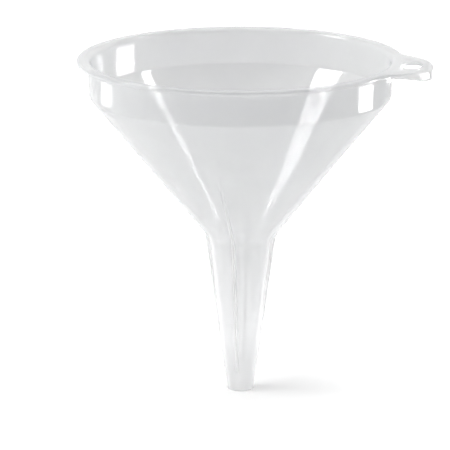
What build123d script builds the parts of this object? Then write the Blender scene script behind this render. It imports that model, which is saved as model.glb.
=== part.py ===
from build123d import *
import os
from math import cos, hypot, radians, sin

os.makedirs("parts", exist_ok=True)

# A kitchen funnel, injection moulded in one piece from a translucent plastic. It is divided here into
# its lip, hanging tab, collar, cone, neck, stem, outlet and vent ribs, which meet face to face.
# Lengths are in millimetres. The origin is the centre of the outlet's end face, +Z runs up the axis
# to the mouth, and the hanging tab points along +X.

# ---- driving dimensions --------------------------------------------------------------------------
HEIGHT = 168.0              # outlet face to the top of the lip
WALL = 1.3                  # one wall thickness from lip to outlet

LIP_RADIUS = 80.0
LIP_THICKNESS = 2.2
EDGE_ROUND = 1.0            # both edges of the lip and of the tab
MOUTH_ROUND = 2.6           # inner edge of the mouth
UNDERSIDE_ROUND = 1.5       # where the lip's underside meets the collar

COLLAR_TOP_RADIUS = 74.8    # outside, carried up to the top of the lip
SHOULDER_RADIUS = 74.1      # outside, at the corner between collar and cone
SHOULDER_HEIGHT = 149.8
SHOULDER_ROUND = 3.0

CONE_SLOPE = 0.815          # radius gained for each millimetre of height
NECK_ROUND = 12.0           # blend from the cone into the stem
STEM_SLOPE = 0.108
OUTLET_RADIUS = 6.6         # outside of the stem at the outlet

RIB_WIDTH = 1.5
RIB_FOOT_HEIGHT = 9.2       # lower end of the ribs
RIB_FULL_HEIGHT = 11.4      # from here up they stand at their full depth
RIB_EDGE_RADIUS = 6.8       # the ribs' straight edge, carried down to the outlet face
RIB_EDGE_SLOPE = 0.1385
RIB_CONE_PROUD = 0.9        # how far a rib stands out of the cone just above the neck
RIB_NECK_ROUND = 13.0
RIB_TOP_RADIUS = 50.0       # where a rib runs out on the cone
RIB_DIRECTIONS = {
    "vent_rib_tab_side": 0.0,
    "vent_rib_left": 90.0,
    "vent_rib_far_side": 180.0,
    "vent_rib_right": 270.0,
}

TAB_REACH = 95.4            # axis to the outer end of the tab
TAB_END_ROUND = 24.5
TAB_FLANK_ANGLE = 34.6      # how much each flank closes towards the outer end
TAB_ROOT_ROUND = 16.0       # hollow blend from the edge of the lip into a flank
TAB_ROOT_RADIUS = 78.0      # where the tab meets the lip
TAB_ROOT_ANGLE = 27.0       # the arc of the lip's edge that belongs to the tab, each side of +X
TAB_PLATE = 1.4             # inside the edge wall
TAB_EDGE_WALL = 2.0
TAB_POCKET_ROUND = 0.5
TAB_END_DEPTH = 7.0         # the edge wall deepens to this from the root outwards
TAB_DROOP_START = 88.0      # axis to where the top starts to turn down
TAB_END_DROOP = 1.6

SLOT_CENTRE = 85.0
SLOT_WIDTH = 9.8
SLOT_LENGTH = 15.6          # across the tab

SPARE = 5.0                 # how far a cutting shape runs past what it cuts

# ---- levels at which the moulding is divided -----------------------------------------------------
OUTLET_TOP = RIB_FOOT_HEIGHT
NECK_BOTTOM = 72.0
NECK_TOP = 82.5
CONE_TOP = 152.0
COLLAR_TOP = HEIGHT - LIP_THICKNESS - 1.6

# ---- corners worked out from the dimensions ------------------------------------------------------
cone_foot = SHOULDER_RADIUS - CONE_SLOPE * SHOULDER_HEIGHT      # the cone's line at outlet level
neck_height = (cone_foot - OUTLET_RADIUS) / (STEM_SLOPE - CONE_SLOPE)
neck_radius = OUTLET_RADIUS + STEM_SLOPE * neck_height
collar_slope = (COLLAR_TOP_RADIUS - SHOULDER_RADIUS) / (HEIGHT - SHOULDER_HEIGHT)

rib_neck_height = (cone_foot + RIB_CONE_PROUD - RIB_EDGE_RADIUS) / (RIB_EDGE_SLOPE - CONE_SLOPE)
rib_neck_radius = RIB_EDGE_RADIUS + RIB_EDGE_SLOPE * rib_neck_height
rib_top_height = (RIB_TOP_RADIUS - cone_foot) / CONE_SLOPE

# ---- the wall: one section of even thickness, from below the outlet to above the mouth -------------
with BuildSketch(Plane.XZ) as wall_section:
    with BuildLine():
        skin = FilletPolyline(
            (OUTLET_RADIUS - STEM_SLOPE * SPARE, -SPARE),
            (neck_radius, neck_height),
            (SHOULDER_RADIUS, SHOULDER_HEIGHT),
            (COLLAR_TOP_RADIUS + collar_slope * SPARE, HEIGHT + SPARE),
            radius=[NECK_ROUND, SHOULDER_ROUND],
        )
        offset(skin, amount=WALL, side=Side.LEFT)
    make_face()


def keep_between(bottom, top):
    """Cut the section being drawn down to the stretch between two levels."""
    with Locations((LIP_RADIUS, (bottom + top) / 2)):
        Rectangle(2 * LIP_RADIUS, top - bottom, mode=Mode.INTERSECT)


# ---- the tab's outline -----------------------------------------------------------------------------
end_half_angle = 90 - TAB_FLANK_ANGLE
flank_length = TAB_REACH - LIP_RADIUS       # long enough to end inside the lip's edge circle

with BuildSketch() as lip_and_tab:
    with BuildLine():
        end_arc = CenterArc(
            (TAB_REACH - TAB_END_ROUND, 0), TAB_END_ROUND, -end_half_angle, 2 * end_half_angle
        )
        left_flank = PolarLine(end_arc @ 1, flank_length, 180 - TAB_FLANK_ANGLE)
        right_flank = PolarLine(end_arc @ 0, flank_length, 180 + TAB_FLANK_ANGLE)
        Line(left_flank @ 1, right_flank @ 1)
    make_face()
    Circle(LIP_RADIUS)
    fillet(lip_and_tab.vertices().group_by(Axis.X)[0], radius=TAB_ROOT_ROUND)

# the tab takes over the edge of the lip that it grows out of
with BuildSketch() as tab_footprint:
    add(lip_and_tab.sketch)
    Circle(TAB_ROOT_RADIUS, mode=Mode.SUBTRACT)
    with BuildLine():
        right_limit = PolarLine((0, 0), 2 * LIP_RADIUS, -TAB_ROOT_ANGLE)
        left_limit = PolarLine((0, 0), 2 * LIP_RADIUS, TAB_ROOT_ANGLE)
        Line(right_limit @ 1, left_limit @ 1)
    make_face(mode=Mode.INTERSECT)

with BuildSketch() as tab_pocket:
    add(lip_and_tab.sketch)
    offset(amount=-TAB_EDGE_WALL, mode=Mode.REPLACE)
    Circle(LIP_RADIUS, mode=Mode.SUBTRACT)
    fillet(tab_pocket.vertices().group_by(Axis.X)[0], radius=TAB_POCKET_ROUND)

LIP_ROUNDS = [
    ((COLLAR_TOP_RADIUS - WALL, HEIGHT), MOUTH_ROUND),
    ((LIP_RADIUS, HEIGHT), EDGE_ROUND),
    ((LIP_RADIUS, HEIGHT - LIP_THICKNESS), EDGE_ROUND),
    ((COLLAR_TOP_RADIUS, HEIGHT - LIP_THICKNESS), UNDERSIDE_ROUND),
]

# ---- lip: the wall turned outwards, less the stretch of its edge that belongs to the tab -------------
with BuildPart() as rim_lip:
    with BuildSketch(Plane.XZ) as lip_section:
        add(wall_section.sketch_local)
        keep_between(COLLAR_TOP, HEIGHT)
        with Locations((COLLAR_TOP_RADIUS - WALL / 2, HEIGHT)):
            Rectangle(
                LIP_RADIUS - COLLAR_TOP_RADIUS + WALL / 2, LIP_THICKNESS, align=(Align.MIN, Align.MAX)
            )
        for corner, corner_round in LIP_ROUNDS:
            fillet(lip_section.vertices().sort_by_distance(corner)[0], radius=corner_round)
    revolve(axis=Axis.Z)
    with BuildSketch(Plane.XY.offset(HEIGHT)):
        add(tab_footprint.sketch)
    extrude(amount=-2 * LIP_THICKNESS, mode=Mode.SUBTRACT)
rim_lip.part.label = "rim_lip"
export_step(rim_lip.part, "parts/rim_lip.step")

def turned_down(depth, turn_start, end_depth):
    """Draw one line of the tab's side view, level and then an arc down, and return its two ends."""
    level = Line((0, HEIGHT - depth), (turn_start, HEIGHT - depth))
    turned = TangentArc(level @ 1, (TAB_REACH, HEIGHT - end_depth), tangent=level % 1)
    return level @ 0, turned @ 1


# what is cored out of the tab from below, which leaves a plate of even thickness
with BuildPart() as tab_core:
    with BuildSketch(Plane.XY.offset(HEIGHT)):
        add(tab_pocket.sketch)
    extrude(amount=-TAB_END_DEPTH)
    with BuildSketch(Plane.XZ):
        with BuildLine():
            ceiling_start, ceiling_end = turned_down(TAB_PLATE, TAB_DROOP_START, TAB_PLATE + TAB_END_DROOP)
            Polyline(
                ceiling_start,
                (0, HEIGHT - TAB_END_DEPTH),
                (TAB_REACH, HEIGHT - TAB_END_DEPTH),
                ceiling_end,
            )
        make_face()
    extrude(amount=LIP_RADIUS, both=True, mode=Mode.INTERSECT)

# ---- hanging tab: a thin plate inside an edge wall that deepens towards the outer end ----------------
with BuildPart() as hang_tab:
    with BuildSketch(Plane.XY.offset(HEIGHT)):
        add(tab_footprint.sketch)
    extrude(amount=-TAB_END_DEPTH)
    # seen from the side, its top and its underside both turn down towards the outer end
    with BuildSketch(Plane.XZ):
        with BuildLine():
            top_start, top_end = turned_down(0, TAB_DROOP_START, TAB_END_DROOP)
            under_start, under_end = turned_down(LIP_THICKNESS, TAB_ROOT_RADIUS, TAB_END_DEPTH)
            Line(top_start, under_start)
            Line(top_end, under_end)
        make_face()
    extrude(amount=LIP_RADIUS, both=True, mode=Mode.INTERSECT)
    # its open edges are rounded as the lip's are; the face that meets the lip stays sharp
    open_edges = hang_tab.edges().filter_by(
        lambda edge: min(hypot(v.X, v.Y) for v in edge.vertices()) > TAB_ROOT_RADIUS + EDGE_ROUND
    )
    outline_edges = open_edges - open_edges.filter_by(Axis.Z) - open_edges.filter_by(Axis.Y)
    fillet(outline_edges, radius=EDGE_ROUND)
    add(tab_core.part, mode=Mode.SUBTRACT)
    # the slot it hangs by
    with BuildSketch(Plane.XY.offset(HEIGHT)):
        with Locations((SLOT_CENTRE, 0)):
            SlotOverall(SLOT_LENGTH, SLOT_WIDTH, rotation=90)
    extrude(amount=-TAB_END_DEPTH, mode=Mode.SUBTRACT)
hang_tab.part.label = "hang_tab"
export_step(hang_tab.part, "parts/hang_tab.step")

# ---- collar: the short upright wall ----------------------------------------------------------------
with BuildPart() as collar:
    with BuildSketch(Plane.XZ):
        add(wall_section.sketch_local)
        keep_between(CONE_TOP, COLLAR_TOP)
    revolve(axis=Axis.Z)
collar.part.label = "collar"
export_step(collar.part, "parts/collar.step")

# ---- cone, up to and round its shoulder ------------------------------------------------------------
with BuildPart() as cone:
    with BuildSketch(Plane.XZ):
        add(wall_section.sketch_local)
        keep_between(NECK_TOP, CONE_TOP)
    revolve(axis=Axis.Z)
cone.part.label = "cone"
export_step(cone.part, "parts/cone.step")

# ---- neck: the curved blend from the cone into the stem --------------------------------------------
with BuildPart() as neck:
    with BuildSketch(Plane.XZ):
        add(wall_section.sketch_local)
        keep_between(NECK_BOTTOM, NECK_TOP)
    revolve(axis=Axis.Z)
neck.part.label = "neck"
export_step(neck.part, "parts/neck.step")

# ---- stem: the long tapered tube -------------------------------------------------------------------
with BuildPart() as stem:
    with BuildSketch(Plane.XZ):
        add(wall_section.sketch_local)
        keep_between(OUTLET_TOP, NECK_BOTTOM)
    revolve(axis=Axis.Z)
stem.part.label = "stem"
export_step(stem.part, "parts/stem.step")

# ---- outlet: the plain end of the stem below the ribs, cut square ------------------------------------
with BuildPart() as outlet:
    with BuildSketch(Plane.XZ):
        add(wall_section.sketch_local)
        keep_between(0, OUTLET_TOP)
    revolve(axis=Axis.Z)
outlet.part.label = "outlet"
export_step(outlet.part, "parts/outlet.step")

# ---- vent ribs: fins that hold the stem off the neck of a bottle, so that air can leave it -----------
with BuildSketch(Plane.XZ) as rib_profile:
    with BuildLine():
        rib_edge = FilletPolyline(
            (RIB_EDGE_RADIUS + RIB_EDGE_SLOPE * RIB_FULL_HEIGHT, RIB_FULL_HEIGHT),
            (rib_neck_radius, rib_neck_height),
            (RIB_TOP_RADIUS, rib_top_height),
            radius=RIB_NECK_ROUND,
        )
        Polyline(
            rib_edge @ 1,
            (OUTLET_RADIUS, rib_top_height),
            (OUTLET_RADIUS, RIB_FOOT_HEIGHT),
            (OUTLET_RADIUS + STEM_SLOPE * RIB_FOOT_HEIGHT, RIB_FOOT_HEIGHT),
            rib_edge @ 0,
        )
    make_face()

# everything inside the outer skin, which trims the ribs to the wall that carries them
with BuildPart() as skin_solid:
    with BuildSketch(Plane.XZ):
        with BuildLine():
            add(skin)
            Polyline(skin @ 1, (0, HEIGHT + SPARE), (0, -SPARE), skin @ 0)
        make_face()
    revolve(axis=Axis.Z)

for node_name, direction in RIB_DIRECTIONS.items():
    outward_x, outward_y = cos(radians(direction)), sin(radians(direction))
    rib_plane = Plane(origin=(0, 0, 0), x_dir=(outward_x, outward_y, 0), z_dir=(outward_y, -outward_x, 0))
    with BuildPart() as vent_rib:
        with BuildSketch(rib_plane):
            add(rib_profile.sketch_local)
        extrude(amount=RIB_WIDTH / 2, both=True)
        add(skin_solid.part, mode=Mode.SUBTRACT)
    vent_rib.part.label = node_name
    export_step(vent_rib.part, f"parts/{node_name}.step")
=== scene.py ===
"""Looks of a translucent kitchen funnel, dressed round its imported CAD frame.

Sizes are in metres, +Z runs up the funnel's axis and the hanging tab points along +X.
"""

import math

import bmesh
import bpy
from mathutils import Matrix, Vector


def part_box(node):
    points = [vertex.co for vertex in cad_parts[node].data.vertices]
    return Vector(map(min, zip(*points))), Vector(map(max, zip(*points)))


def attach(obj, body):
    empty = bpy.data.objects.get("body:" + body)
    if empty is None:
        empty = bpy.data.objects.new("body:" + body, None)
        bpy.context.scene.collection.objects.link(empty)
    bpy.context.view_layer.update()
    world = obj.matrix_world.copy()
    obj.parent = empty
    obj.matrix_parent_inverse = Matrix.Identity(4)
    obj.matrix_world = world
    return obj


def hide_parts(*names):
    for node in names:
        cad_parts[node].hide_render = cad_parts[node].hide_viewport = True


bl_info = {
    "name": "Kitchen Funnel",
    "version": (1, 0, 0),
    "blender": (4, 5, 0),
    "location": "View3D > Sidebar > Funnel",
    "description": "Builds a translucent moulded kitchen funnel and its stage",
    "category": "Object",
}

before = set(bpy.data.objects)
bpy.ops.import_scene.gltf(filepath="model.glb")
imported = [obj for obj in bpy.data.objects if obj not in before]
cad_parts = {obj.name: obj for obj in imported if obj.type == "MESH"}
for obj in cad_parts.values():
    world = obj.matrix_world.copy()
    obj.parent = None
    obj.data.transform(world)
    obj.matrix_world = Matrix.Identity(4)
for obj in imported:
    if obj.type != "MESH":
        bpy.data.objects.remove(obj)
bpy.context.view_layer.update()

MOULDING_NODES = (
    "rim_lip",
    "hang_tab",
    "collar",
    "cone",
    "neck",
    "stem",
    "outlet",
    "vent_rib_tab_side",
    "vent_rib_left",
    "vent_rib_far_side",
    "vent_rib_right",
)

# Half of a vent rib's cross-section: sideways offset from its middle plane, in rib
# widths, and the share of the rib's height reached there.
RIB_COLUMNS = (
    (0.00, 1.00),
    (0.22, 0.99),
    (0.34, 0.93),
    (0.42, 0.78),
    (0.47, 0.50),
    (0.52, 0.22),
    (0.60, 0.06),
    (0.78, 0.00),
)
PLAIN_COLUMNS = 16  # on the bare wall, from a rib's side to halfway to the next rib
HALF_SECTOR = len(RIB_COLUMNS) - 1 + PLAIN_COLUMNS
RIB_COUNT = 4

# Points on each rounding of the wall's section, in the order of section_corners
CORNER_POINTS = (3, 12, 8, 3, 5, 5, 7, 8, 12, 3)
SECTION_STEP = 0.0022  # longest straight step along the section
RING_RADIUS = 0.1  # of the blank ring, before every vertex gets its own place
RIB_EDGE_BLEND = 0.0025  # where a rib's edge turns from the stem onto the cone
CREASE_ANGLE = math.radians(48)  # edges that fold less than this are shaded smooth

CLEARING_HEIGHT = 0.12  # below this the plastic is made clearer towards the outlet: a painted lightening of the stem, for the light it gets near the floor
NECK_BLEND = 0.0055  # the skin's own blend at the neck, where ribs are told from wall
RIB_STARTS, RIB_FADE = 0.0003, 0.0008  # how far from the skin the rib's whitening and painted highlight set in
RIB_REACH = 0.11  # above this a rib is too low to get its whiter colour and painted highlight
CLOUD_SCALE, SKIN_SCALE = 38.0, 160.0
FLOW_STRETCH = (14.0, 14.0, 3.0)  # flow marks run along the axis

MIRRORED_FLOOR = 0.4  # share of the floor's extra white that the gloss shows
LIFT_FROM, LIFT_TO = 0.015, 0.11  # distances over which that white grows
FRONT_LEVEL, FRONT_RISE = 0.82, 0.57  # slope of the direction where the room is dimmest
CAMERA_AIM_HEIGHT = 0.084
CAMERA_SHIFT = (-0.0342, -0.001)


# ---- settings that a user may change --------------------------------------------------
def length(name, description, default):
    return bpy.props.FloatProperty(
        name=name, description=description, default=default, min=0.0, unit="LENGTH"
    )


def ratio(name, description, default):
    return bpy.props.FloatProperty(name=name, description=description, default=default)


def share(name, description, default):
    return bpy.props.FloatProperty(
        name=name,
        description=description,
        default=default,
        min=0.0,
        max=1.0,
        subtype="FACTOR",
    )


def colour(name, description, default):
    return bpy.props.FloatVectorProperty(
        name=name,
        description=description,
        default=default,
        min=0.0,
        max=1.0,
        size=3,
        subtype="COLOR",
    )


class FunnelSizes(bpy.types.PropertyGroup):
    """Sizes of the moulding."""

    height: length("Height", "Outlet face to the top of the lip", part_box("rim_lip")[1].z)
    wall: length("Wall", "Wall thickness from lip to outlet", 0.0013)
    lip_radius: length("Lip Radius", "Outer edge of the lip", 0.080)
    lip_thickness: length("Lip Thickness", "Height of the lip's outer edge", 0.0022)
    lip_round: length("Lip Round", "Rounding of the lip's edges", 0.0010)
    mouth_round: length("Mouth Round", "Rounding of the mouth's inner edge", 0.0026)
    underside_round: length("Underside Round", "Fillet under the lip", 0.0015)
    collar_radius: length("Collar Radius", "Outside of the collar at the top", 0.0748)
    shoulder_radius: length("Shoulder Radius", "Outside at the shoulder", 0.0741)
    shoulder_height: length("Shoulder Height", "Outlet face to the shoulder", 0.1498)
    shoulder_round: length("Shoulder Round", "Rounding of the shoulder", 0.003)
    cone_slope: ratio("Cone Slope", "Radius gained for each unit of height", 0.815)
    neck_round: length("Neck Round", "Blend from the cone into the stem", 0.012)
    stem_slope: ratio("Stem Slope", "Radius gained for each unit of height", 0.108)
    outlet_radius: length("Outlet Radius", "Outside of the stem at the outlet", 0.0066)
    outlet_round: length("Outlet Round", "Rounding of the outlet's edges", 0.00035)
    rib_width: length("Rib Width", "Thickness of a vent rib", 0.0015)
    rib_foot: length("Rib Foot", "Outlet face to the lower end of the ribs", 0.0092)
    rib_full: length("Rib Full Height", "Outlet face to the ribs' full depth", 0.0114)
    rib_edge_radius: length(
        "Rib Edge Radius", "A rib's edge, carried down to the outlet face", 0.0068
    )
    rib_edge_slope: ratio("Rib Edge Slope", "Radius a rib's edge gains with height", 0.1385)
    rib_cone_proud: length("Rib On Cone", "How far a rib stands out above the neck", 0.0009)
    rib_top_radius: length("Rib Top Radius", "Where a rib runs out on the cone", 0.050)


class PlasticFinish(bpy.types.PropertyGroup):
    """Finish of the translucent plastic, with its painted rib highlight and painted lightening
    at the outlet.
    """

    tint: colour("Tint", "Colour of the plastic", (0.82, 0.83, 0.84))
    cloud_tint: colour("Cloud Tint", "Colour of its milkier patches", (0.86, 0.87, 0.88))
    milkiness: share("Milkiness", "How much one surface hides, seen square on", 0.50)
    edge_milkiness: share("Edge Milkiness", "The same, seen edge on", 0.75)
    # the milkiness left at the outlet sets a painted lightening of the stem
    outlet_share: share("Outlet Share", "Share of the milkiness left at the outlet", 0.43)
    # the rib tint is partly the solid rib's own whiteness and partly a painted highlight line
    # along the rib
    rib_tint: colour("Rib Tint", "Colour of the solid vent ribs", (0.97, 0.97, 0.98))
    rib_milkiness: share("Rib Milkiness", "What a rib adds to the milkiness", 0.25)
    roughness: share("Roughness", "Roughness of the moulded skin", 0.025)


class StageSettings(bpy.types.PropertyGroup):
    """Floor, light and camera round the funnel."""

    floor_colour: colour("Floor Colour", "Colour of the floor", (0.70, 0.70, 0.70))
    floor_lift: ratio("Floor Lift", "Extra white of the floor round the funnel", 0.12)
    far_lift: ratio("Far Lift", "Extra white of the floor further out", 0.46)
    world_level: ratio("World Level", "Strength of the light from all round", 1.10)
    front_dim: share("Front Dim", "How much less comes from the camera's side", 0.95)
    left_light: ratio("Left Light", "Brightness of the high softbox on the left", 19.0)
    right_light: ratio("Right Light", "Brightness of the high bar on the right", 17.0)
    key_light: ratio("Key Light", "Brightness of the soft light from the left", 0.20)
    shadow_light: ratio("Shadow Light", "Brightness of the light on the floor", 11.5)
    top_light: ratio("Top Light", "Brightness of the softbox overhead", 4.0)
    low_light: ratio("Low Light", "Brightness of the low panels at the sides", 3.0)
    camera_azimuth: bpy.props.FloatProperty(
        name="Camera Azimuth",
        description="Turn of the camera round the funnel",
        default=math.radians(12.5),
        subtype="ANGLE",
    )
    camera_distance: length("Camera Distance", "Axis to camera, level", 1.85)
    camera_height: length("Camera Height", "Height of the camera", 0.550)
    camera_lens: bpy.props.FloatProperty(
        name="Camera Lens",
        description="Focal length in millimetres",
        default=309.0,
        min=10.0,
    )


# ---- a node tree written as formulas --------------------------------------------------
class Number:
    """An output of a node tree that adds Math nodes as it is calculated with."""

    def __init__(self, tree, socket):
        self.tree, self.socket = tree, socket

    def math(self, operation, *others):
        node = self.tree.nodes.new("ShaderNodeMath")
        node.operation = operation
        for slot, value in zip(node.inputs, (self, *others)):
            put(self.tree, slot, value)
        return Number(self.tree, node.outputs[0])

    def __add__(self, other):
        return self.math("ADD", other)

    def __sub__(self, other):
        return self.math("SUBTRACT", other)

    def __mul__(self, other):
        return self.math("MULTIPLY", other)

    def __truediv__(self, other):
        return self.math("DIVIDE", other)


def put(tree, slot, value):
    """Link or set one input socket."""
    if isinstance(value, Number):
        tree.links.new(value.socket, slot)
    elif isinstance(value, bpy.types.NodeSocket):
        tree.links.new(value, slot)
    else:
        slot.default_value = value


def add_node(tree, kind, settings=None, **inputs):
    """Add a node, set its properties, and fill its inputs by identifier or name."""
    node = tree.nodes.new(kind)
    for name, value in (settings or {}).items():
        setattr(node, name, value)
    for name, value in inputs.items():
        put(tree, node.inputs[name.replace("_", " ")], value)
    return node


def new_socket(tree, name, kind, in_out="INPUT", default=None):
    """Add an input or output to the tree itself."""
    made = tree.interface.new_socket(name=name, in_out=in_out, socket_type=kind)
    if default is not None:
        made.default_value = default
    return made


def vector(tree, x, y, z):
    """A vector from three numbers or sockets."""
    return add_node(tree, "ShaderNodeCombineXYZ", X=x, Y=y, Z=z).outputs[0]


def blend(tree, factor, first, second):
    """A colour between two others; the colours are the seventh and eighth inputs."""
    node = tree.nodes.new("ShaderNodeMix")
    node.data_type = "RGBA"
    for slot, value in zip((0, 6, 7), (factor, first, second)):
        put(tree, node.inputs[slot], value)
    return node.outputs[2]


def pick(tree, kind, index, values):
    """An Index Switch over a list of values."""
    node = tree.nodes.new("GeometryNodeIndexSwitch")
    node.data_type = kind
    while len(node.index_switch_items) < len(values):
        node.index_switch_items.new()
    put(tree, node.inputs[0], index)
    for slot, value in zip(node.inputs[1:], values):
        put(tree, slot, value)
    return node.outputs[0]


# ---- the moulding's shape -------------------------------------------------------------
def section_corners(size):
    """Corners (radius, height, round) of the wall's closed section, up the outside and
    down the inside, and the cone's line, as node formulas of the sizes."""
    wall = size["wall"]

    def crossing(a, b):
        height = (a[0] - b[0]) / (b[1] - a[1])
        return a[0] + a[1] * height, height

    def inside(line):
        foot, slope = line
        return foot - wall * (slope * slope + 1.0).math("SQRT"), slope

    stem = (size["outlet_radius"], size["stem_slope"])
    cone = (
        size["shoulder_radius"] - size["cone_slope"] * size["shoulder_height"],
        size["cone_slope"],
    )
    collar_slope = (size["collar_radius"] - size["shoulder_radius"]) / (
        size["height"] - size["shoulder_height"]
    )
    collar = (size["collar_radius"] - collar_slope * size["height"], collar_slope)
    lip_underside = size["height"] - size["lip_thickness"]
    stem_inside, cone_inside, collar_inside = inside(stem), inside(cone), inside(collar)
    neck, shoulder = crossing(stem, cone), crossing(cone, collar)
    neck_inside = crossing(stem_inside, cone_inside)
    shoulder_inside = crossing(cone_inside, collar_inside)
    corners = [
        (stem[0], 0.0, size["outlet_round"]),
        (*neck, size["neck_round"]),
        (*shoulder, size["shoulder_round"]),
        (collar[0] + collar[1] * lip_underside, lip_underside, size["underside_round"]),
        (size["lip_radius"], lip_underside, size["lip_round"]),
        (size["lip_radius"], size["height"], size["lip_round"]),
        (
            collar_inside[0] + collar_inside[1] * size["height"],
            size["height"],
            size["mouth_round"],
        ),
        (*shoulder_inside, size["shoulder_round"] - wall),
        (*neck_inside, size["neck_round"] + wall),
        (stem_inside[0], 0.0, size["outlet_round"]),
    ]
    return corners, cone


def build_shape_tree():
    """Geometry Nodes tree: the revolved wall with its vent ribs, joined to the tab."""
    tree = bpy.data.node_groups.new("funnel_moulding", "GeometryNodeTree")
    defaults = bpy.context.scene.funnel_sizes
    names = list(FunnelSizes.__annotations__)
    for name in names:
        title = FunnelSizes.__annotations__[name].keywords["name"]
        new_socket(tree, title, "NodeSocketFloat", default=getattr(defaults, name))
    new_socket(tree, "Tab", "NodeSocketObject")
    new_socket(tree, "Plastic", "NodeSocketMaterial")
    new_socket(tree, "Geometry", "NodeSocketGeometry", "OUTPUT")
    entry = tree.nodes.new("NodeGroupInput")
    size = {name: Number(tree, entry.outputs[i]) for i, name in enumerate(names)}

    # the closed section, as a curve in the XZ plane
    corners, cone = section_corners(size)
    line = add_node(tree, "GeometryNodeMeshLine", Count=len(corners))
    index = add_node(tree, "GeometryNodeInputIndex").outputs[0]
    place = pick(tree, "VECTOR", index, [vector(tree, r, 0.0, z) for r, z, _ in corners])
    placed = add_node(
        tree, "GeometryNodeSetPosition", Geometry=line.outputs[0], Position=place
    )
    curve = add_node(tree, "GeometryNodeMeshToCurve", Mesh=placed.outputs[0])
    closed = add_node(
        tree, "GeometryNodeSetSplineCyclic", Geometry=curve.outputs[0], Cyclic=True
    )
    rounding = pick(tree, "FLOAT", index, [radius for _, _, radius in corners])
    points = pick(tree, "INT", index, CORNER_POINTS)
    rounded = add_node(
        tree,
        "GeometryNodeFilletCurve",
        {"mode": "POLY"},
        Curve=closed.outputs[0],
        Count=points,
        Radius=rounding,
        Limit_Radius=True,
    )
    # long straight stretches are divided, so that the ribs' edges stay smooth
    here = add_node(tree, "GeometryNodeInputPosition").outputs[0]
    after = add_node(tree, "GeometryNodeOffsetPointInCurve", Offset=1)
    next_place = add_node(
        tree, "GeometryNodeFieldAtIndex", {"data_type": "FLOAT_VECTOR"}, Index=after.outputs[1]
    )
    put(tree, next_place.inputs["Value"], here)
    gap = add_node(tree, "ShaderNodeVectorMath", {"operation": "DISTANCE"})
    put(tree, gap.inputs[0], here)
    put(tree, gap.inputs[1], next_place.outputs[0])
    cuts = (Number(tree, gap.outputs["Value"]) / SECTION_STEP).math("FLOOR")
    section = add_node(
        tree, "GeometryNodeSubdivideCurve", Curve=rounded.outputs[0], Cuts=cuts
    ).outputs[0]
    counted = add_node(
        tree, "GeometryNodeAttributeDomainSize", {"component": "CURVE"}, Geometry=section
    )
    row_count = Number(tree, counted.outputs["Point Count"])

    # a ring of sections; every vertex then gets its place from its row and column
    ring = add_node(
        tree,
        "GeometryNodeCurvePrimitiveCircle",
        Resolution=2 * RIB_COUNT * HALF_SECTOR,
        Radius=RING_RADIUS,
    )
    swept = add_node(
        tree, "GeometryNodeCurveToMesh", Curve=ring.outputs[0], Profile_Curve=section
    ).outputs[0]
    vertex = Number(tree, index)
    column = (vertex / row_count).math("FLOOR")
    row = vertex - column * row_count
    point = add_node(
        tree,
        "GeometryNodeSampleIndex",
        {"data_type": "FLOAT_VECTOR", "domain": "POINT"},
        Geometry=section,
        Value=here,
        Index=row,
    )
    split = add_node(tree, "ShaderNodeSeparateXYZ", Vector=point.outputs[0])
    skin_radius, height = Number(tree, split.outputs[0]), Number(tree, split.outputs[2])

    sector = ((column + HALF_SECTOR) / (2.0 * HALF_SECTOR)).math("FLOOR")
    step = column - sector * (2.0 * HALF_SECTOR)
    side, near = step.math("SIGN"), step.math("ABSOLUTE")
    offsets, shares = zip(*RIB_COLUMNS)
    last_column = len(RIB_COLUMNS) - 1.0
    rib_column = near.math("MINIMUM", last_column)
    sideways = Number(tree, pick(tree, "FLOAT", rib_column, offsets)) * size["rib_width"]
    rib_share = Number(tree, pick(tree, "FLOAT", rib_column, shares))

    # a rib's edge: one line down the stem, one out along the cone
    rib_cone_foot = cone[0] + size["rib_cone_proud"]
    rib_neck_height = (rib_cone_foot - size["rib_edge_radius"]) / (
        size["rib_edge_slope"] - size["cone_slope"]
    )
    rib_neck_radius = size["rib_edge_radius"] + size["rib_edge_slope"] * rib_neck_height
    rib_top_height = (size["rib_top_radius"] - cone[0]) / size["cone_slope"]
    rib_run = (size["rib_top_radius"] - rib_neck_radius) / (rib_top_height - rib_neck_height)
    on_stem = size["rib_edge_radius"] + size["rib_edge_slope"] * height
    on_cone = rib_neck_radius + rib_run * (height - rib_neck_height)
    rib_radius = on_stem.math("SMOOTH_MAX", on_cone, RIB_EDGE_BLEND)
    outside = height.math("LESS_THAN", rib_top_height) * row.math(
        "LESS_THAN", row_count / 2.0
    )
    above_foot = ((height - size["rib_foot"]) / (size["rib_full"] - size["rib_foot"])).math(
        "MAXIMUM", 0.0
    )
    proud = (rib_radius - skin_radius).math("MAXIMUM", 0.0) * outside
    proud = proud * above_foot.math("MINIMUM", 1.0) * rib_share
    radius = skin_radius + proud

    near_angle = (sideways / radius).math("ARCSINE")
    plain = ((near - last_column) / float(PLAIN_COLUMNS)).math("MAXIMUM", 0.0)
    angle = near_angle + (near_angle * -1.0 + math.pi / RIB_COUNT) * plain
    turn = sector * (2.0 * math.pi / RIB_COUNT) + side * angle
    spot = vector(tree, radius * turn.math("COSINE"), radius * turn.math("SINE"), height)
    wall = add_node(tree, "GeometryNodeSetPosition", Geometry=swept, Position=spot)

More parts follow.
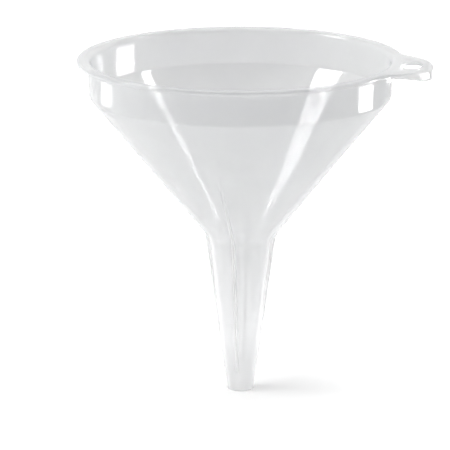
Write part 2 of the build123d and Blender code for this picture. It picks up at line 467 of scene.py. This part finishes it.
    tab = add_node(tree, "GeometryNodeObjectInfo", Object=entry.outputs[len(names)])
    joined = add_node(
        tree, "GeometryNodeMeshBoolean", {"operation": "UNION", "solver": "EXACT"}
    )
    tree.links.new(wall.outputs[0], joined.inputs["Mesh 2"])
    tree.links.new(tab.outputs["Geometry"], joined.inputs["Mesh 2"])
    fold = Number(tree, add_node(tree, "GeometryNodeInputMeshEdgeAngle").outputs[0])
    smooth = add_node(
        tree, "GeometryNodeSetShadeSmooth", {"domain": "FACE"}, Geometry=joined.outputs[0]
    )
    creased = add_node(
        tree,
        "GeometryNodeSetShadeSmooth",
        {"domain": "EDGE"},
        Geometry=smooth.outputs[0],
        Shade_Smooth=fold.math("LESS_THAN", CREASE_ANGLE),
    )
    realised = add_node(tree, "GeometryNodeRealizeInstances", Geometry=creased.outputs[0])
    painted = add_node(
        tree,
        "GeometryNodeSetMaterial",
        Geometry=realised.outputs[0],
        Material=entry.outputs[len(names) + 1],
    )
    leave = tree.nodes.new("NodeGroupOutput")
    tree.links.new(painted.outputs[0], leave.inputs[0])
    return tree


def tab_blank():
    """A welded copy of the hanging tab's own solid."""
    mesh = bmesh.new()
    mesh.from_mesh(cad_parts["hang_tab"].data)
    bmesh.ops.remove_doubles(mesh, verts=mesh.verts, dist=1e-6)
    data = bpy.data.meshes.new("tab_blank")
    mesh.to_mesh(data)
    mesh.free()
    blank = bpy.data.objects.new("tab_blank", data)
    bpy.context.scene.collection.objects.link(blank)
    return blank


# ---- plastic --------------------------------------------------------------------------
def build_plastic():
    """Milky, glossy polypropylene: faint cloudy patches, flow marks and a fine skin, with a
    painted highlight on the vent ribs and a painted lightening of the stem towards the outlet.
    """
    finish = bpy.context.scene.funnel_finish
    sizes = bpy.context.scene.funnel_sizes
    material = bpy.data.materials.new("translucent_polypropylene")
    material.use_nodes = True
    tree = material.node_tree
    tree.nodes.clear()
    place = add_node(tree, "ShaderNodeTexCoord").outputs["Object"]
    cloud = add_node(
        tree,
        "ShaderNodeTexNoise",
        Vector=place,
        Scale=CLOUD_SCALE,
        Detail=3.0,
        Roughness=0.5,
    ).outputs[0]
    skin = add_node(
        tree,
        "ShaderNodeTexNoise",
        Vector=place,
        Scale=SKIN_SCALE,
        Detail=2.0,
        Roughness=0.5,
    ).outputs[0]
    stretch = add_node(tree, "ShaderNodeMapping", Vector=place, Scale=FLOW_STRETCH)
    flow = add_node(
        tree,
        "ShaderNodeTexNoise",
        Vector=stretch.outputs[0],
        Scale=1.0,
        Detail=2.0,
        Roughness=0.45,
    ).outputs[0]
    tint = blend(tree, cloud, (*finish.tint, 1.0), (*finish.cloud_tint, 1.0))
    facing = add_node(tree, "ShaderNodeLayerWeight", Blend=0.5).outputs["Facing"]
    steep = Number(tree, facing).math("POWER", 3.0)
    opacity = steep * (finish.edge_milkiness - finish.milkiness) + finish.milkiness
    opacity = opacity + (Number(tree, cloud) - 0.5) * 0.05
    # the plastic is made clearer towards the outlet, which lightens the stem against the
    # white: painted light standing in for the light the stem gets near the floor
    spot = add_node(tree, "ShaderNodeSeparateXYZ", Vector=place).outputs
    east, north, rise = (Number(tree, socket) for socket in spot)
    outlet_lightening = (rise / CLEARING_HEIGHT).math("MINIMUM", 1.0).math("POWER", 2.0)
    outlet_lightening = outlet_lightening * (1.0 - finish.outlet_share) + finish.outlet_share
    # a vent rib is solid, so it is milkier than the wall it stands on; its whiter colour is
    # partly that and partly a painted highlight line along the rib
    cone_foot = sizes.shoulder_radius - sizes.cone_slope * sizes.shoulder_height
    on_stem = rise * sizes.stem_slope + sizes.outlet_radius
    on_cone = rise * sizes.cone_slope + cone_foot
    skin_radius = on_stem.math("SMOOTH_MAX", on_cone, NECK_BLEND)
    proud = (east * east + north * north).math("SQRT") - skin_radius
    rib = ((proud - RIB_STARTS) / RIB_FADE).math("MINIMUM", 1.0).math("MAXIMUM", 0.0)
    rib = rib * rise.math("LESS_THAN", RIB_REACH)
    opacity = opacity * outlet_lightening + rib * finish.rib_milkiness
    # the rib's whiter colour carries a painted highlight line along it
    rib_whitened_and_highlit = blend(tree, rib, tint, (*finish.rib_tint, 1.0))
    rough = (Number(tree, skin) - 0.5) * 0.05 + finish.roughness
    bump = add_node(
        tree,
        "ShaderNodeBump",
        Strength=0.18,
        Distance=0.0006,
        Height=Number(tree, flow) + Number(tree, skin) * 0.04,
    )
    shader = add_node(
        tree,
        "ShaderNodeBsdfPrincipled",
        Base_Color=rib_whitened_and_highlit,
        Roughness=rough,
        IOR=1.49,
        Specular_IOR_Level=1.0,
        Alpha=opacity,
        Subsurface_Weight=0.5,
        Subsurface_Radius=(1.0, 1.0, 1.0),
        Subsurface_Scale=0.004,
        Normal=bump.outputs[0],
    )
    out = tree.nodes.new("ShaderNodeOutputMaterial")
    tree.links.new(shader.outputs[0], out.inputs[0])
    return material


class FUNNEL_OT_make_moulding(bpy.types.Operator):
    """Build the one-piece moulding: wall, lip, vent ribs and hanging tab"""

    bl_idname = "funnel.make_moulding"
    bl_label = "Make Moulding"
    bl_options = {"REGISTER", "UNDO"}

    def execute(self, context):
        tab = tab_blank()
        host = bpy.data.objects.new("moulding_host", bpy.data.meshes.new("moulding_host"))
        context.scene.collection.objects.link(host)
        modifier = host.modifiers.new("moulding", "NODES")
        modifier.node_group = build_shape_tree()
        plastic = build_plastic()
        for item in modifier.node_group.interface.items_tree:
            if item.in_out == "INPUT" and item.socket_type == "NodeSocketObject":
                modifier[item.identifier] = tab
            if item.in_out == "INPUT" and item.socket_type == "NodeSocketMaterial":
                modifier[item.identifier] = plastic
        shaped = host.evaluated_get(context.evaluated_depsgraph_get())
        mesh = bpy.data.meshes.new_from_object(shaped)
        if not mesh.polygons:
            raise RuntimeError("the moulding's node tree gave no faces")
        mesh.name = "funnel_moulding"
        bpy.data.objects.remove(host)
        bpy.data.objects.remove(tab)
        piece = bpy.data.objects.new("funnel_moulding", mesh)
        context.scene.collection.objects.link(piece)
        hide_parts(*MOULDING_NODES)
        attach(piece, "root")
        return {"FINISHED"}


# ---- stage ----------------------------------------------------------------------------
def build_floor_material(stage):
    """Plain white that keeps the shadow and is looked through from below."""
    material = bpy.data.materials.new("stage_white")
    material.use_nodes = True
    tree = material.node_tree
    tree.nodes.clear()
    paint = add_node(tree, "ShaderNodeBsdfDiffuse", Color=(*stage.floor_colour, 1.0))
    rays = add_node(tree, "ShaderNodeLightPath").outputs
    looked_at = Number(tree, rays["Is Camera Ray"])
    mirrored = Number(tree, rays["Is Glossy Ray"]) * MIRRORED_FLOOR
    looked_at = looked_at.math("MAXIMUM", mirrored)
    looked_at = looked_at.math("MAXIMUM", rays["Is Transmission Ray"])
    # the lift is low round the funnel, so that its shadow stays, and grows further out
    place = add_node(tree, "ShaderNodeTexCoord").outputs["Object"]
    away = add_node(tree, "ShaderNodeVectorMath", {"operation": "LENGTH"}, Vector=place)
    extra = add_node(
        tree,
        "ShaderNodeMapRange",
        {"interpolation_type": "SMOOTHSTEP"},
        Value=away.outputs["Value"],
        From_Min=LIFT_FROM,
        From_Max=LIFT_TO,
        To_Min=stage.floor_lift,
        To_Max=stage.far_lift,
    ).outputs[0]
    lift = add_node(
        tree, "ShaderNodeEmission", Color=(1.0, 1.0, 1.0, 1.0), Strength=looked_at * extra
    )
    both = tree.nodes.new("ShaderNodeAddShader")
    tree.links.new(paint.outputs[0], both.inputs[0])
    tree.links.new(lift.outputs[0], both.inputs[1])
    # from below, the floor is looked through
    clear = tree.nodes.new("ShaderNodeBsdfTransparent")
    underneath = tree.nodes.new("ShaderNodeNewGeometry").outputs["Backfacing"]
    sided = tree.nodes.new("ShaderNodeMixShader")
    tree.links.new(underneath, sided.inputs[0])
    tree.links.new(both.outputs[0], sided.inputs[1])
    tree.links.new(clear.outputs[0], sided.inputs[2])
    out = tree.nodes.new("ShaderNodeOutputMaterial")
    tree.links.new(sided.outputs[0], out.inputs[0])
    return material


def softbox(name, place, aim, size, brightness):
    """A rectangular lamp that faces aim, equally bright at any size."""
    light = bpy.data.lights.new(name, "AREA")
    light.shape = "RECTANGLE"
    light.size, light.size_y = size
    light.energy = math.pi * size[0] * size[1] * brightness
    lamp = bpy.data.objects.new(name, light)
    lamp.location = place
    direction = aim - lamp.location
    lamp.rotation_euler = direction.to_track_quat("-Z", "Y").to_euler()
    bpy.context.scene.collection.objects.link(lamp)
    return lamp


def around(azimuth, elevation, distance, aim):
    """A point that far from aim; azimuth 0 is on the camera's right, 90 behind."""
    turn = math.radians(azimuth) + bpy.context.scene.funnel_stage.camera_azimuth
    rise = math.radians(elevation)
    return aim + distance * Vector(
        (math.cos(turn) * math.cos(rise), math.sin(turn) * math.cos(rise), math.sin(rise))
    )


def sun(name, azimuth, elevation, spread, brightness):
    """A soft lamp from far away, left out of the gloss."""
    light = bpy.data.lights.new(name, "SUN")
    light.energy = math.pi * brightness
    light.angle = math.radians(spread)
    lamp = bpy.data.objects.new(name, light)
    origin = Vector((0.0, 0.0, 0.0))
    direction = origin - around(azimuth, elevation, 1.0, origin)
    lamp.rotation_euler = direction.to_track_quat("-Z", "Y").to_euler()
    lamp.visible_glossy = False
    bpy.context.scene.collection.objects.link(lamp)
    return lamp


def build_floor(stage):
    """A round white sheet under the funnel."""
    sheet = bmesh.new()
    bmesh.ops.create_circle(sheet, cap_ends=True, radius=6.0, segments=64)
    data = bpy.data.meshes.new("floor")
    sheet.to_mesh(data)
    sheet.free()
    data.materials.append(build_floor_material(stage))
    floor = bpy.data.objects.new("floor", data)
    bpy.context.scene.collection.objects.link(floor)
    return floor


def build_lamps(stage, floor):
    """Softboxes that only the gloss shows, a soft light for the shape, and one lamp for
    the shadow."""
    low = stage.low_light
    for name, azimuth, elevation, distance, aim_height, size, brightness in (
        ("high_left", 169.5, 45.0, 1.5, 0.11, (0.35, 0.50), stage.left_light),
        ("high_right", 11.5, 45.5, 1.5, 0.11, (0.39, 0.09), stage.right_light),
        ("overhead", 90.0, 89.0, 1.5, 0.11, (0.8, 0.8), stage.top_light),
        ("low_right_inner", 17.5, 0.0, 0.55, 0.068, (0.22, 0.050), 11.0 * low),
        ("low_right_outer", 15.0, 0.0, 0.55, 0.022, (0.17, 0.036), 4.0 * low),
        ("low_back_right", 58.0, 0.0, 0.55, 0.058, (0.13, 0.040), 3.0 * low),
        ("low_left", 154.0, 0.0, 0.55, 0.025, (0.16, 0.022), 1.4 * low),
    ):
        aim = Vector((0.0, 0.0, aim_height))
        place = around(azimuth, elevation, distance, aim)
        lamp = softbox(name, place, aim, size, brightness)
        lamp.visible_diffuse = False
    sun("key_light", 176.0, 46.0, 35.0, stage.key_light)

    # the lamp that sharpens the contact shadow lights the floor alone
    floor_only = bpy.data.collections.new("floor_only")
    floor_only.objects.link(floor)
    aim = Vector((0.0, 0.0, 0.19))
    place = around(195.0, 11.0, 2.2, aim)
    lamp = softbox("floor_light", place, aim, (2.8, 1.2), stage.shadow_light)
    lamp.visible_glossy = False
    lamp.light_linking.receiver_collection = floor_only


def build_world(stage):
    """White where it is looked at, and a plain room light that is dimmer in front."""
    world = bpy.data.worlds.new("studio")
    world.use_nodes = True
    tree = world.node_tree
    tree.nodes.clear()
    rays = add_node(tree, "ShaderNodeLightPath").outputs
    looked_at = Number(tree, rays["Is Camera Ray"])
    looked_at = looked_at.math("MAXIMUM", rays["Is Transmission Ray"])
    mirrored = Number(tree, rays["Is Glossy Ray"])
    towards = add_node(tree, "ShaderNodeVectorMath", {"operation": "DOT_PRODUCT"})
    heading = tree.nodes.new("ShaderNodeTexCoord").outputs["Generated"]
    turn = stage.camera_azimuth
    front = (FRONT_LEVEL * math.sin(turn), -FRONT_LEVEL * math.cos(turn), FRONT_RISE)
    put(tree, towards.inputs[0], heading)
    put(tree, towards.inputs[1], front)
    nearness = Number(tree, towards.outputs["Value"]).math("MAXIMUM", 0.0)
    room = mirrored * (1.0 - stage.world_level) + stage.world_level
    room = room * (nearness * -stage.front_dim + 1.0)
    level = looked_at.math("MAXIMUM", room)
    shade = add_node(
        tree, "ShaderNodeBackground", Color=(1.0, 1.0, 1.0, 1.0), Strength=level
    )
    out = tree.nodes.new("ShaderNodeOutputWorld")
    tree.links.new(shade.outputs[0], out.inputs[0])
    bpy.context.scene.world = world


def build_camera(stage):
    """A long lens that looks down at the funnel a little."""
    data = bpy.data.cameras.new("camera")
    camera = bpy.data.objects.new("camera", data)
    bpy.context.scene.collection.objects.link(camera)
    turn = stage.camera_azimuth
    camera.location = (
        math.sin(turn) * stage.camera_distance,
        -math.cos(turn) * stage.camera_distance,
        stage.camera_height,
    )
    direction = Vector((0.0, 0.0, CAMERA_AIM_HEIGHT)) - camera.location
    camera.rotation_euler = direction.to_track_quat("-Z", "Y").to_euler()
    data.lens = stage.camera_lens
    data.shift_x, data.shift_y = CAMERA_SHIFT
    data.clip_end = 20.0
    bpy.context.scene.camera = camera


class FUNNEL_OT_make_stage(bpy.types.Operator):
    """Add the white floor, the lamps and the camera"""

    bl_idname = "funnel.make_stage"
    bl_label = "Make Stage"
    bl_options = {"REGISTER", "UNDO"}

    def execute(self, context):
        stage = context.scene.funnel_stage
        floor = build_floor(stage)
        build_lamps(stage, floor)
        build_world(stage)
        build_camera(stage)
        context.scene.view_settings.view_transform = "Standard"
        return {"FINISHED"}


class FUNNEL_PT_panel(bpy.types.Panel):
    """Buttons and settings of the funnel"""

    bl_idname = "FUNNEL_PT_panel"
    bl_label = "Kitchen Funnel"
    bl_space_type = "VIEW_3D"
    bl_region_type = "UI"
    bl_category = "Funnel"

    def draw(self, context):
        scene = context.scene
        for button, settings in (
            ("funnel.make_moulding", (scene.funnel_sizes, scene.funnel_finish)),
            ("funnel.make_stage", (scene.funnel_stage,)),
        ):
            self.layout.operator(button)
            box = self.layout.box()
            for group in settings:
                for name in type(group).__annotations__:
                    box.prop(group, name)


CLASSES = (
    FunnelSizes,
    PlasticFinish,
    StageSettings,
    FUNNEL_OT_make_moulding,
    FUNNEL_OT_make_stage,
    FUNNEL_PT_panel,
)


def register():
    for item in CLASSES:
        bpy.utils.register_class(item)
    bpy.types.Scene.funnel_sizes = bpy.props.PointerProperty(type=FunnelSizes)
    bpy.types.Scene.funnel_finish = bpy.props.PointerProperty(type=PlasticFinish)
    bpy.types.Scene.funnel_stage = bpy.props.PointerProperty(type=StageSettings)


def unregister():
    for name in ("funnel_stage", "funnel_finish", "funnel_sizes"):
        delattr(bpy.types.Scene, name)
    for item in reversed(CLASSES):
        bpy.utils.unregister_class(item)


def main():
    register()
    bpy.ops.funnel.make_moulding()
    bpy.ops.funnel.make_stage()


if __name__ == "__main__":
    main()
